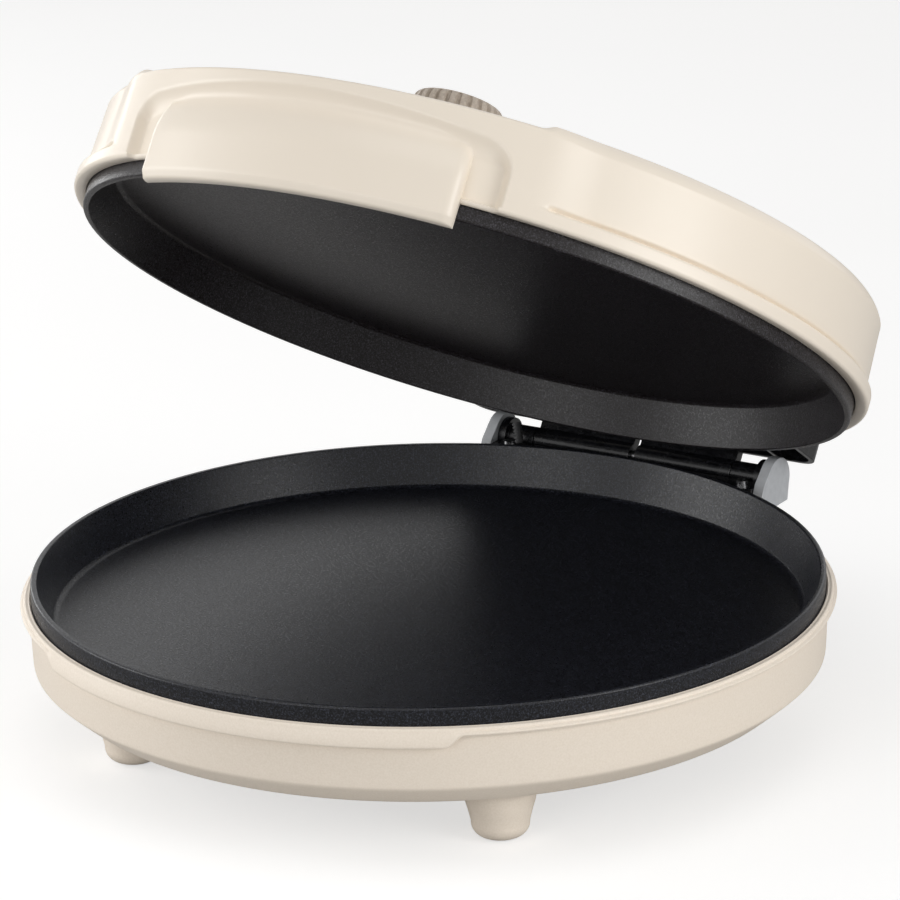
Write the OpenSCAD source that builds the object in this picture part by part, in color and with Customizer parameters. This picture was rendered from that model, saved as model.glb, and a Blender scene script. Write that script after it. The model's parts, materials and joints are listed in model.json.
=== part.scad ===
// Electric pizza maker: a round base and a lid that swings on a rear hinge, shown half open.
// The base axis is upright, the table is z = 0, the handle faces -Y and the hinge lies at +Y.

/* [Baking plates] */
// Outer radius of both plates at the rim
plate_r = 163; // [140:1:200]
// Width of the rim's top
rim_w = 2.6; // [2:0.2:4]
// How far the sloping wall draws in from rim to floor
wall_in = 8.4; // [6:0.2:12]
// Depth of the floor below the rim
plate_depth = 17.6; // [14:0.2:21]
// Thickness of the casting
plate_t = 3; // [2.4:0.2:4]
// Length of the screw bosses behind the floor
boss_len = 13.5; // [12:0.5:16]
// Distance of the bosses from the plate's axis
boss_at = 80; // [60:1:92]

/* [Base shell] */
// Height of the lower plate's rim above the table
rim_z = 68.6; // [64:0.2:86]
// Height of the plate's rim that shows above the shell
rim_show = 7.1; // [5:0.1:9]
// How far the shell's band stands out from the plate
band_out = 4.4; // [3:0.2:7]
// Height of the narrow band
band_h = 3.2; // [2:0.2:5]
// Height of the deep band at the front
band_deep = 8; // [6:0.5:11]
// Half of the angle that the deep band covers
band_angle = 33; // [20:0.5:45]
// Height of the shell's underside above the table
floor_z = 22.8; // [20:0.2:28]
// Radius of the curve between wall and underside
sweep_r = 29.6; // [22:0.2:34]
// Thickness of the moulded walls
wall = 2.5; // [2:0.1:3]

/* [Feet] */
// Distance of each foot from the base axis
foot_at = 126; // [110:1:132]
// Angle of each foot from the front or the rear
foot_angle = 43.5; // [35:0.5:50]
// Radius of a foot at the shell
foot_top_r = 15.2; // [13:0.2:17]
// Radius of a foot near its sole
foot_low_r = 11.8; // [9:0.2:13]
// Radius of the flat sole
sole_r = 5; // [4:0.2:7]

/* [Lid shell] */
// Gap between the two rims when the lid is closed
close_gap = 0.6; // [0.3:0.1:1.5]
// How far the lid's flange stands out from the plate
flange_out = 5.8; // [4.6:0.2:7]
// Height of the lid's flange
flange_h = 6; // [4:0.2:8]
// Radius step from the flange to the wall
flange_step = 2.8; // [2:0.2:3.4]
// Height of the lid's wall above the rim
lid_wall_top = 39.8; // [38:0.2:52]
// Inward lean of the lid's wall
lid_draft = 1.2; // [0:0.2:2]
// Radius of the crown's shoulder
crown_round = 7.6; // [5:0.2:10]
// Rise of the dome from the crown to its middle
dome_rise = 12.8; // [8:0.2:14]

/* [Front bridge and handle] */
// Half of the angle over which the bridge keeps its full reach
bridge_angle = 34; // [33:0.5:40]
// Angle over which each end of the bridge dies into the wall
bridge_fade = 9; // [5:0.5:12]
// Height of the bridge's front top edge above the rim
bridge_top = 45; // [44:0.2:47]
// Radius of the bridge's front top corner
bridge_corner = 5; // [3:0.5:7]
// Height of the flat tongue top above the rim
tongue_z = 60.4; // [59.6:0.1:63]
// Radius within which the tongue top is flat
tongue_flat_r = 76; // [75:1:85]
// Half of the tongue's width at the front
tongue_w = 86; // [70:1:88]
// Radius of the tongue's end round the knob
tongue_end_r = 36; // [28:1:40]
// Depth of the finger recess in the bridge
recess_depth = 4; // [3:0.2:4.4]
// Half of the recess's width
recess_w = 86; // [80:1:88]
// Height of the recess's top above the rim
recess_top = 37.5; // [34:0.5:38.5]
// Fall of the recess's top from its middle to its corners
recess_fall = 5; // [2:0.5:8]
// Corner radius of the recess
recess_corner = 12; // [8:0.5:16]
// Half of the handle's width
handle_w = 72; // [50:1:74]
// How far the handle's face stands out from the flange
handle_out = 1.8; // [1:0.2:4]
// How far the handle hangs below the lid's rim
handle_drop = 4; // [2:0.2:5]
// Radius of the handle's upright corners
handle_corner = 5; // [3:0.5:5.5]
// Height of the handle's face above the rim
handle_top = 28; // [24:0.5:30]

/* [Knob] */
// Distance of the knob from the lid's middle
knob_at = 52; // [50:0.5:53]
// Radius of the knob at its skirt
knob_r = 21.5; // [18:0.5:22]
// Radius of the knob at its top
knob_top_r = 18.5; // [15:0.5:19]
// Height of the knob
knob_h = 14.4; // [10:0.2:18]
// Number of flutes
flutes = 26; // [16:1:32]
// Radius of the spindle
spindle_r = 3; // [2.5:0.1:3.5]

/* [Hinge] */
// Distance of the hinge axis behind the plates' rims
hinge_back = 12; // [11:0.5:16]
// Distance of the hinge axis below the lower rim
hinge_drop = 3.8; // [3:0.2:6]
// Radius of the barrels
barrel_r = 5.5; // [5:0.1:6]
// Radius of the hinge pin
pin_r = 2.5; // [2:0.1:3]
// Running clearance round the pin and the spindle
run_fit = 0.06; // [0.03:0.01:0.09]
// Gap between the two barrels
barrel_gap = 3; // [2:0.5:6]
// Length of each barrel
barrel_len = 47; // [40:0.5:50]
// Length of each end knuckle
knuckle_len = 12.4; // [10:0.2:14]
// Thickness of the ears
ear_t = 3.6; // [3:0.2:5]
// Thickness of the grey end covers
cover_t = 4.8; // [4:0.2:7]
// Half of the width of the lid's rear housing
housing_w = 84; // [80:1:90]
// How far the rear housing reaches behind the hinge axis
housing_back = 7; // [5:0.5:8]
// Height of the rear housing above the lid's rim
housing_top = 33; // [28:0.5:36]
// How far the lid stands open as shown
open_angle = 34.2; // [30:0.1:38]

/* [Heating] */
// Radius of the element's ring
ring_r = 105; // [100:1:108]
// Radius of the element's tube
tube_r = 3.3; // [3:0.1:4]
// Thickness of the reflector's sheet
sheet_t = 0.6; // [0.5:0.1:1.2]
// Radius of the flat part of the reflector
dish_r = 138; // [132:1:140]

/* [Hidden] */
$fn = 64;

// Clearance between pieces that sit in or beside each other on one body
seat_gap = 0.3;
// A little extra length so that cuts pass right through
past = 1;
// Steps in the arcs of a turned profile
arc_steps = 10;

// Heights on the base, from the table
lid_rim_z = rim_z + close_gap;
flange_z = rim_z - rim_show;
ledge_z = flange_z - 1.9;
hinge_y = plate_r + hinge_back;
hinge_z = rim_z - hinge_drop;

// The plate: heights go down from the rim, which is 0
shoulder = rim_show + 1.9;
shoulder_r = plate_r - 3.1;
floor_r = plate_r - rim_w - wall_in;
plate_back = plate_depth + plate_t;
boss_end = plate_back + boss_len;
boss_r = 5;
tube_drop = plate_back + tube_r + 0.1;
pad_end = tube_drop + tube_r;
pad_r = 4.2;
pad_out = 9;
fillet = 3.2;

// Radii of the two shells
band_r = plate_r + band_out;
base_wall_r = band_r - 3.5;
lip_r = plate_r + seat_gap;
lid_flange_r = plate_r + flange_out;
lid_wall_r = lid_flange_r - flange_step;
lid_lip_z = 6.3;
lid_ledge_z = shoulder + 0.1;
shelf_z = lid_ledge_z + 2.2;
crown_r = lid_wall_r - lid_draft - crown_round;
crown_z = lid_wall_top + crown_round;
recess_r = lid_flange_r - recess_depth;
skin_r = recess_r - 2.8;
handle_r = lid_flange_r + handle_out;

// Screws
screw_r = 1.85;
screw_hole_r = 2.1;
screw_head_r = 3.8;
screw_head_h = 2.2;
clip_screw_r = 1.4;

// The rear housing's reach behind the base axis once the lid stands open
rest_back = hinge_y + housing_back * cos(open_angle)
    + (housing_top + lid_rim_z - hinge_z) * sin(open_angle);
// Moves the part so that its origin lies below the middle of its depth
mid_y = (rest_back - band_r) / 2;

// Points on an arc round c, with radius r, from angle a to angle b
function arc(c, r, a, b, n = arc_steps) =
    [for (i = [0 : n]) c + r * [cos(a + (b - a) * i / n), sin(a + (b - a) * i / n)]];

// Places that use the base's own axis
module on_base() translate([0, -mid_y, 0]) children();

// Places that use the lid's axis, with z = 0 on the lid's rim; the lid is then swung open
module on_lid()
    translate([0, hinge_y - mid_y, hinge_z])
    rotate([-open_angle, 0, 0])
    translate([0, -hinge_y, lid_rim_z - hinge_z])
    children();

// Copies at a list of angles round the axis, counted from the front
module round_at(angles, r) for (a = angles) rotate([0, 0, a - 90]) translate([r, 0, 0]) children();

// A sector of a turned profile, half_angle to each side of the front
module front_turn(half_angle)
    rotate([0, 0, -90 - half_angle]) rotate_extrude(angle = 2 * half_angle, $fn = 180) children();

module turned() rotate_extrude($fn = 180) children();

boss_angles = [45, 135, 225, 315];
clip_angles = [0, 120, 240];

// The casting, rim up, with z = 0 on the rim
module plate_body()
    turned()
    polygon(concat(
        [[0, -plate_back]],
        arc([floor_r - 1, -plate_back + 6], 6, -90, -30),
        [[shoulder_r, -shoulder - 1.5], [shoulder_r, -shoulder], [plate_r, -shoulder]],
        arc([plate_r - 1, -1], 1, 0, 90, 5),
        arc([plate_r - rim_w + 0.6, -0.6], 0.6, 90, 160, 4),
        arc([floor_r - 0.2, -plate_depth + fillet], fillet, -32, -90, 6),
        [[0, -plate_depth]]
    ));

module plate_with_bosses() {
    difference() {
        union() {
            plate_body();
            round_at(boss_angles, boss_at)
                translate([0, 0, -boss_end]) cylinder(r = boss_r, h = boss_len + past);
            round_at(clip_angles, ring_r)
                for (side = [-1, 1])
                    translate([side * pad_out, 0, -pad_end]) cylinder(r = pad_r, h = pad_end - plate_back + past);
        }
        round_at(boss_angles, boss_at)
            translate([0, 0, -boss_end - past]) cylinder(r = screw_r + 0.05, h = boss_len - 1 + past);
        round_at(clip_angles, ring_r)
            for (side = [-1, 1])
                translate([side * pad_out, 0, -pad_end - past]) cylinder(r = clip_screw_r + 0.05, h = 6 + past);
    }
}

// The tubular element: a ring open at the rear, with two straight cold ends
ring_gap = 14;
cold_len = 20;
module heater() {
    translate([0, 0, -tube_drop]) {
        rotate([0, 0, 90 + ring_gap])
            rotate_extrude(angle = 360 - 2 * ring_gap, $fn = 120) translate([ring_r, 0]) circle(r = tube_r, $fn = 32);
        for (side = [-1, 1])
            rotate([0, 0, 90 + side * ring_gap]) translate([ring_r, 0, 0]) {
                sphere(r = tube_r, $fn = 32);
                rotate([0, 90, 0]) cylinder(r = tube_r, h = cold_len, $fn = 32);
                rotate([0, 90, 0]) cylinder(r = 1.2, h = cold_len + 8, $fn = 24);
            }
    }
}

// Flat straps across the element, from pad to pad
clip_w = 9;
clip_t = 0.8;
module heater_clips()
    round_at(clip_angles, ring_r)
    translate([0, 0, -pad_end - clip_t])
    difference() {
        union() {
            translate([-pad_out, -clip_w / 2, 0]) cube([2 * pad_out, clip_w, clip_t]);
            for (side = [-1, 1]) translate([side * pad_out, 0, 0]) cylinder(r = clip_w / 2, h = clip_t);
        }
        for (side = [-1, 1])
            translate([side * pad_out, 0, -past]) cylinder(r = clip_screw_r + 0.2, h = clip_t + 2 * past);
    }

module clip_screws()
    round_at(clip_angles, ring_r)
    for (side = [-1, 1])
        translate([side * pad_out, 0, -pad_end - clip_t]) {
            translate([0, 0, -1.6]) cylinder(r = 2.7, h = 1.6);
            cylinder(r = clip_screw_r, h = 5);
        }

// The reflector dish behind the element; extra holes are children
module reflector()
    difference() {
        translate([0, 0, -boss_end]) turned() polygon([
            [0, -sheet_t], [dish_r, -sheet_t], [dish_r + 12, 7], [dish_r + 14, 7],
            [dish_r + 14, 7 + sheet_t], [dish_r + 11.4, 7 + sheet_t], [dish_r - 0.4, 0], [0, 0]
        ]);
        round_at(boss_angles, boss_at)
            translate([0, 0, -boss_end - past - sheet_t]) cylinder(r = screw_hole_r, h = 3 * past);
        children();
    }

// Screws that run up into the bosses, with the head under a stack that thick
module boss_screws(stack)
    round_at(boss_angles, boss_at)
    translate([0, 0, -boss_end - stack]) {
        translate([0, 0, -screw_head_h]) cylinder(r = screw_head_r, h = screw_head_h);
        cylinder(r = screw_r, h = stack + boss_len - 3);
    }

// Base shell
post_top = rim_z - boss_end - sheet_t;
post_r = 6.6;
head_seat = floor_z + 5.2;
sweep_c = [base_wall_r - 1 - sweep_r * 0.81, floor_z + sweep_r];
low_wall_z = floor_z + sweep_r * 0.414;
// The wall leans out from the end of the sweep to the narrow band; the deep band starts part way up
deep_z = flange_z - band_deep;
wall_foot = sweep_c + sweep_r * [cos(-35.9), sin(-35.9)];
wall_head = [base_wall_r, flange_z - band_h - 0.8];
wall_step = wall_foot + (wall_head - wall_foot) * (deep_z - 0.4 - wall_foot[1]) / (wall_head[1] - wall_foot[1]);
module base_outline()
    polygon(concat(
        [[0, floor_z]],
        arc(sweep_c, sweep_r, -90, -35.9),
        [wall_step, [band_r, deep_z + 0.2]],
        arc([band_r - 1.4, flange_z - 1.6], 1.4, 0, 80, 6),
        [[lip_r, flange_z], [0, flange_z]]
    ));
module base_hollow()
    polygon(concat(
        [[0, floor_z + wall]],
        arc(sweep_c, sweep_r - wall, -90, -35.9),
        [[base_wall_r - wall - 0.3, ledge_z - 4], [shoulder_r + seat_gap, ledge_z - 2]],
        [[shoulder_r + seat_gap, ledge_z], [lip_r, ledge_z], [lip_r, flange_z + past], [0, flange_z + past]]
    ));

module foot_outline(shrink)
    polygon(concat(
        [[0, 0], [sole_r - shrink, 0]],
        arc([foot_low_r - 6.6, 6.6], 6.6 - shrink, -88, -8, 8),
        [[foot_top_r - shrink, floor_z + 7], [0, floor_z + 7]]
    ));

foot_spots = [foot_angle, 180 - foot_angle, 180 + foot_angle, 360 - foot_angle];

// What is cut away below the narrow band, all round but for the deep band in front
band_fall = band_deep - band_h;
sweep_w = 7.5;
band_x = band_r * sin(band_angle);
// Points of an S that rises by h over the width w
function s_curve(w, h, n = 8) = [for (i = [0 : n]) [w * i / n, h * (1 - cos(180 * i / n)) / 2]];
module deep_band_view()
    for (side = [0, 1])
        mirror([side, 0])
        translate([0, deep_z + 0.2])
        polygon(concat([[-1, -4], [band_x, -4]],
            [for (p = s_curve(sweep_w, band_fall + 1.6)) p + [band_x, 0]],
            [[band_x + sweep_w, band_deep + 4], [-1, band_deep + 4]]));
module below_band()
    difference() {
        turned() polygon([wall_step, [band_r + 2, deep_z - 1.5], [band_r + 2, flange_z - band_h],
            [band_r, flange_z - band_h - 0.2], wall_head]);
        rotate([90, 0, 0]) linear_extrude(height = band_r + 5) deep_band_view();
    }

gland_angle = 180 - 36;
gland_z = 42.8;
gland_r = 5.2;
module gland_axis() rotate([0, 0, gland_angle - 90]) translate([base_wall_r - 0.6, 0, gland_z]) rotate([0, 90, 0]) children();

module base_shell()
    color([0.93, 0.88, 0.80])
    on_base()
    difference() {
        union() {
            difference() {
                union() {
                    turned() base_outline();
                    round_at(foot_spots, foot_at) rotate_extrude($fn = 60) foot_outline(0);
                }
                turned() base_hollow();
                below_band();
                round_at(foot_spots, foot_at)
                    translate([0, 0, wall + 1]) rotate_extrude($fn = 60) foot_outline(wall);
            }
            round_at(boss_angles, boss_at)
                translate([0, 0, floor_z]) cylinder(r = post_r, h = post_top - floor_z);
        }
        round_at(boss_angles, boss_at) {
            translate([0, 0, floor_z - past]) cylinder(r = screw_head_r + 0.4, h = head_seat - floor_z + past);
            translate([0, 0, floor_z]) cylinder(r = screw_hole_r, h = post_top);
        }
        gland_axis() translate([0, 0, -12]) cylinder(r = gland_r, h = 24);
    }

module lower_plate()
    color([0.10, 0.10, 0.11]) on_base() translate([0, 0, rim_z]) plate_with_bosses();

module lower_heater()
    color([0.45, 0.45, 0.46]) on_base() translate([0, 0, rim_z]) heater();

module lower_heater_clips()
    color([0.75, 0.75, 0.76]) on_base() translate([0, 0, rim_z]) heater_clips();

module lower_clip_screws()
    color([0.80, 0.80, 0.80]) on_base() translate([0, 0, rim_z]) clip_screws();

module lower_reflector()
    color([0.80, 0.80, 0.82]) on_base() translate([0, 0, rim_z]) reflector();

module lower_plate_screws()
    color([0.80, 0.80, 0.80]) on_base() translate([0, 0, rim_z])
    boss_screws(sheet_t + post_top - head_seat);

// Hinge on the base
knuckle_x = barrel_gap / 2 + barrel_len + 0.4;
ear_x = knuckle_x + knuckle_len;
cover_x = ear_x + ear_t;
ear_r = 8;
block_top = hinge_z - barrel_r - 0.6;
block_low = flange_z - 26;
block_back = 6.2;
lip_front = plate_r + seat_gap;

module hinge_axis() translate([0, hinge_y, hinge_z]) rotate([0, 90, 0]) children();

module base_hinge_bracket()
    color([0.07, 0.07, 0.075])
    on_base()
    difference() {
        union() {
            difference() {
                union() {
                    translate([-cover_x, hinge_y - 40, block_top - 5])
                        cube([2 * cover_x, 40 + block_back, 5]);
                    translate([-cover_x + 14, hinge_y - 40, block_low])
                        cube([2 * cover_x - 28, 40 + block_back - 4, block_top - block_low - past]);
                    translate([-ear_x, hinge_y - 20, block_top - past])
                        cube([2 * ear_x, 20 - barrel_r - 1.2, hinge_z + 1 - block_top]);
                }
                translate([0, 0, -past]) cylinder(r = band_r + seat_gap, h = flange_z + past + 0.4, $fn = 180);
                cylinder(r = lip_front + 0.2, h = rim_z + 5, $fn = 180);
                for (x = [-34, 0, 34])
                    translate([x - 13, hinge_y - 30, block_low - past])
                        cube([26, 30 + block_back - 7, block_top - block_low - 4]);
            }
            for (side = [-1, 1]) {
                hinge_axis() translate([0, 0, side > 0 ? knuckle_x : -ear_x]) cylinder(r = barrel_r, h = knuckle_len);
                hinge_axis() translate([0, 0, side > 0 ? ear_x : -cover_x]) cylinder(r = ear_r, h = ear_t);
                translate([side > 0 ? knuckle_x : -cover_x, hinge_y - 4.5, block_top - past])
                    cube([knuckle_len + ear_t, 9, hinge_z - block_top]);
                translate([side > 0 ? ear_x : -cover_x, hinge_y - 16, block_top - past])
                    cube([ear_t, 18, hinge_z - block_top + 1]);
            }
        }
        hinge_axis() translate([0, 0, -cover_x - past]) cylinder(r = pin_r, h = 2 * cover_x + 2 * past);
        for (side = [-1, 1])
            translate([side * screw_x, screw_y, hinge_z - 12]) cylinder(r = 1.6, h = 30);
    }

screw_x = ear_x - 3.8;
screw_y = hinge_y - barrel_r - 4.6;
module bracket_screws()
    color([0.75, 0.75, 0.76])
    on_base()
    for (side = [-1, 1])
        translate([side * screw_x, screw_y, hinge_z]) {
            translate([0, 0, 0]) cylinder(r = 2.6, h = 1.6);
            translate([0, 0, -10]) cylinder(r = 1.5, h = 10 + past);
        }

module hinge_pin()
    color([0.70, 0.70, 0.72])
    on_base()
    hinge_axis() translate([0, 0, -cover_x]) cylinder(r = pin_r, h = 2 * cover_x);

// A grey end cover: a round end on the axis and a nose that runs forward and down
cover_r = 10;
module cover_outline() {
    circle(r = cover_r, $fn = 48);
    polygon([[0, cover_r], [-7, 7.2], [-13, 1.5], [-17, -6], [-17, -11], [8, -11], [cover_r, 0]]);
}
module hinge_cover(side)
    color([0.63, 0.64, 0.66])
    on_base()
    translate([side > 0 ? cover_x + 0.1 : -cover_x - cover_t - 0.1, hinge_y, hinge_z])
    rotate([90, 0, 90])
    linear_extrude(height = cover_t)
    cover_outline();

module hinge_cover_left() hinge_cover(-1);
module hinge_cover_right() hinge_cover(1);

// The ribbed sleeve of the lid's leads, standing on the ledge and leaning back
sleeve_r = 2;
sleeve_len = 9;
sleeve_ribs = 6;
module lead_sleeve()
    color([0.12, 0.12, 0.13])
    on_base()
    translate([-knuckle_x - 3.5, hinge_y - barrel_r - 5, hinge_z + 1.1])
    rotate([-18, -20, 0])
    rotate_extrude($fn = 32)
    difference() {
        union() {
            square([sleeve_r - 0.4, sleeve_len]);
            for (i = [0 : sleeve_ribs - 1])
                translate([0, i * sleeve_len / sleeve_ribs + 0.4]) square([sleeve_r, 0.8]);
        }
        translate([0, -past]) square([0.9, sleeve_len + 2 * past]);
    }

module cord_gland()
    color([0.10, 0.10, 0.10])
    on_base()
    gland_axis()
    rotate_extrude($fn = 48)
    polygon([[3.6, -8], [7, -8], [7, -3.2], [gland_r - 0.1, -3.2], [gland_r - 0.1, 0.7],
        [7.4, 0.7], [6.4, 4], [5.2, 12], [3.6, 12]]);

module terminal_block()
    color([0.90, 0.90, 0.86])
    on_base()
    rotate([0, 0, gland_angle - 90])
    translate([118, -17, floor_z + wall])
    difference() {
        cube([15, 34, 8.6]);
        for (y = [6, 17, 28]) {
            translate([-past, y, 4.5]) rotate([0, 90, 0]) cylinder(r = 1.8, h = 15 + 2 * past, $fn = 24);
            for (x = [4, 11]) translate([x, y, 4.5]) cylinder(r = 1.6, h = 6, $fn = 24);
        }
    }

fuse_spot = [0, 60];
module thermal_fuse()
    color([0.82, 0.82, 0.80])
    on_base()
    translate([fuse_spot[0] - 7, fuse_spot[1], rim_z - plate_back - 2.3])
    rotate([0, 90, 0]) {
        cylinder(r = 2.1, h = 14, $fn = 32);
        translate([0, 0, -7]) cylinder(r = 0.5, h = 28, $fn = 16);
    }

module fuse_clamp()
    color([0.75, 0.75, 0.76])
    on_base()
    translate([fuse_spot[0] - 3, fuse_spot[1], rim_z - plate_back]) {
        translate([0, -3.4, -5.3]) cube([6, 6.8, 0.8]);
        for (y = [-3.4, 2.6]) translate([0, y, -5.3]) cube([6, 0.8, 5.2]);
        for (y = [-9.4, 2.6]) translate([0, y, -0.9]) cube([6, 6.8, 0.8]);
    }

// Lid shell, with z = 0 on the lid's rim
module lid_outline()
    polygon(concat(
        [[0, lid_lip_z], [lid_flange_r - 1.2, lid_lip_z]],
        arc([lid_flange_r - 1.6, lid_lip_z + 1.6], 1.6, -70, 0, 5),
        [[lid_flange_r, lid_lip_z + flange_h - 0.8], [lid_flange_r - 0.6, lid_lip_z + flange_h]],
        [[lid_wall_r, lid_lip_z + flange_h + 0.9], [lid_wall_r - lid_draft, lid_wall_top]],
        crown_arc(0),
        dome_arc(0)
    ));
// The crown's shoulder, a quarter round inside the given skin
function crown_arc(skin) =
    arc([crown_r, lid_wall_top], crown_round - skin, 8, 82, 8);
// The dome over the crown, a flat arc that ends in a small level middle
dome_ball = (crown_r * crown_r + dome_rise * dome_rise) / (2 * dome_rise);
dome_steps = 18;
function dome_z(r) = crown_z + sqrt(dome_ball * dome_ball - r * r) - (dome_ball - dome_rise);
function dome_arc(skin) = concat(
    [for (i = [0 : dome_steps - 1]) let (r = crown_r * (1 - i / dome_steps)) [r, dome_z(r) - skin]],
    [[0, dome_z(crown_r / dome_steps) - skin]]);

module lid_hollow()
    polygon(concat(
        [[0, lid_lip_z - past], [lip_r, lid_lip_z - past], [lip_r, lid_ledge_z],
         [shoulder_r + seat_gap, lid_ledge_z], [shoulder_r + seat_gap, shelf_z],
         [lid_wall_r - wall, shelf_z], [lid_wall_r - lid_draft - wall, lid_wall_top]],
        crown_arc(wall),
        dome_arc(wall)
    ));

// Bridge: the flange's radius carried up the front and over on to the dome
tongue_mid_r = 125;
tongue_mid_z = tongue_z - 6;
function bridge_edge() = concat(
    arc([lid_flange_r - bridge_corner, bridge_top - bridge_corner], bridge_corner, 0, 76, 8),
    [[tongue_mid_r, tongue_mid_z], [tongue_flat_r, tongue_z], [0, tongue_z]]);
module bridge_section()
    polygon(concat([[0, lid_lip_z + 2], [lid_flange_r, lid_lip_z + 2]], bridge_edge()));
// Everything above the bridge's skin
module above_bridge()
    polygon(concat([[lid_flange_r + 5, 0], [lid_flange_r + 5, tongue_z + 20], [0, tongue_z + 20]],
        [for (i = [len(bridge_edge()) - 1 : -1 : 0]) bridge_edge()[i]], [[lid_flange_r, 0]]));
// Reach of the bridge at an angle from the front
wall_reach = lid_wall_r - lid_draft - 0.4;
function reach(a) = wall_reach + (lid_flange_r - wall_reach)
    * (1 + cos(180 * max(0, a - bridge_angle) / bridge_fade)) / 2;
bridge_end = bridge_angle + bridge_fade;
module bridge_plan() {
    intersection() {
        union() {
            intersection() {
                circle(r = lid_flange_r, $fn = 180);
                polygon([[0, 0], 220 * [-sin(bridge_angle), -cos(bridge_angle)], [0, -260],
                    220 * [sin(bridge_angle), -cos(bridge_angle)]]);
            }
            for (side = [-1, 1])
                polygon(concat([[0, 0]],
                    [for (i = [0 : 9]) let (a = bridge_angle + bridge_fade * i / 9)
                        reach(a) * [side * sin(a), -cos(a)]]));
        }
        translate([-150, -220]) square([300, 220 - (plate_r - 40)]);
    }
    polygon([[-tongue_w, -(plate_r - 39)], [tongue_w, -(plate_r - 39)],
        [tongue_end_r, -knob_at], [-tongue_end_r, -knob_at]]);
    translate([0, -knob_at]) circle(r = tongue_end_r, $fn = 90);
}
module bridge()
    intersection() {
        turned() bridge_section();
        linear_extrude(height = tongue_z + 10) bridge_plan();
    }
module over_bridge()
    intersection() {
        turned() above_bridge();
        translate([0, 0, lid_wall_top - 5]) linear_extrude(height = 60) bridge_plan();
    }

// Finger recess: an arch in front view that follows the flange's curve
module arch()
    difference() {
        union() {
            translate([-recess_w, -20]) square([2 * recess_w, 20 + recess_top - recess_fall - recess_corner]);
            translate([-recess_w + recess_corner, -20])
                square([2 * (recess_w - recess_corner), 20 + recess_top]);
            for (side = [-1, 1])
                translate([side * (recess_w - recess_corner), recess_top - recess_fall - recess_corner])
                circle(r = recess_corner, $fn = 60);
        }
        difference() {
            translate([-recess_w - 5, recess_top - recess_fall - 20]) square([2 * recess_w + 10, 60]);
            translate([0, recess_top - arch_r]) circle(r = arch_r, $fn = 240);
            translate([-recess_w - 5, recess_top - recess_fall - 21])
                square([2 * recess_w + 10, 21 - recess_corner]);
            for (side = [-1, 1])
                translate([side * (recess_w - recess_corner), recess_top - recess_fall - recess_corner])
                circle(r = recess_corner, $fn = 60);
        }
    }
arch_half = recess_w - recess_corner;
arch_r = (arch_half * arch_half + recess_fall * recess_fall) / (2 * recess_fall);
module recess_cut()
    intersection() {
        front_turn(bridge_angle)
            polygon([[recess_r, -20], [recess_r, recess_top - 8.8], [lid_flange_r + 1, recess_top + 3.7],
                [lid_flange_r + 10, recess_top + 3.7], [lid_flange_r + 10, -20]]);
        rotate([90, 0, 0]) linear_extrude(height = lid_flange_r + 10) arch();
    }

// Handle: an upright block in the recess whose face follows the flange's curve
module handle_plan()
    intersection() {
        circle(r = handle_r, $fn = 180);
        union() {
            translate([-handle_w, -handle_side]) square([2 * handle_w, 20]);
            translate([-handle_w + handle_corner, -handle_r - past]) square([2 * (handle_w - handle_corner), 60]);
            for (side = [-1, 1])
                translate([side * (handle_w - handle_corner), -handle_side]) circle(r = handle_corner, $fn = 40);
        }
    }
handle_side = sqrt(pow(handle_r, 2) - pow(handle_w - handle_corner, 2)) - handle_corner - 0.6;
module handle()
    intersection() {
        translate([0, 0, -handle_drop]) linear_extrude(height = recess_top + handle_drop) handle_plan();
        front_turn(bridge_angle) polygon([
            [lip_r + 0.3, -handle_drop], [handle_r - 2.6, -handle_drop],
            [handle_r - 0.8, -handle_drop + 0.8], [handle_r, -handle_drop + 2.6],
            [handle_r - 0.3, handle_top - 8], [handle_r - 1.2, handle_top],
            [recess_r + 1.4, recess_top - 4], [skin_r + 1, recess_top - 2],
            [skin_r + 1, lid_ledge_z + 3], [lip_r + 0.3, lid_lip_z + 0.4]
        ]);
    }

lens_at = [13, 104];
lens_r = 3;
module lid_shell()
    color([0.94, 0.89, 0.82])
    on_lid()
    difference() {
        union() {
            difference() {
                union() {
                    difference() {
                        union() {
                            turned() lid_outline();
                            bridge();
                        }
                        over_bridge();
                        turned() lid_hollow();
                    }
                    front_turn(bridge_angle - 1)
                        polygon([[skin_r, shelf_z - 1], [lid_wall_r - 1, shelf_z - 1],
                            [lid_wall_r - lid_draft - 1, recess_top + 1], [skin_r, recess_top - 1]]);
                }
                recess_cut();
            }
            handle();
        }
        // Hollow behind the handle's face
        front_turn(22)
            polygon([[skin_r - 2, lid_ledge_z + 4.5], [handle_r - wall, lid_ledge_z + 4.5],
                [handle_r - wall - 0.4, handle_top - 8], [skin_r - 2, handle_top - 2]]);
        // Openings for the spindle and the two lenses
        translate([0, -knob_at, 0]) cylinder(r = spindle_r + 1, h = tongue_z + 10);
        for (side = [-1, 1])
            translate([side * lens_at[0], -lens_at[1], 0]) cylinder(r = lens_r + 0.1, h = tongue_z + 10);
        // Gaps in the ledge that let the plate's lugs through
        for (a = lug_angles)
            rotate([0, 0, a + 16]) translate([0, 0, lid_ledge_z])
            front_turn(4.5) translate([shoulder_r - 1, -0.1]) square([1 + lug_reach + 0.2, 2.4]);
    }

// Lugs that lock the upper plate above the shell's ledge
lug_angles = [45, 135, 225, 315];
module plate_lugs()
    for (a = lug_angles)
        rotate([0, 0, a]) front_turn(3.6)
        translate([shoulder_r - 1.5, shelf_z + 0.1]) square([1.5 + lug_reach, 2.2]);
lug_reach = 1.6;

module upper_plate()
    color([0.09, 0.085, 0.085])
    on_lid() {
        mirror([0, 0, 1]) plate_with_bosses();
        plate_lugs();
        translate([0, -knob_at, plate_back - past]) cylinder(r = 9, h = past + 3);
    }

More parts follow.
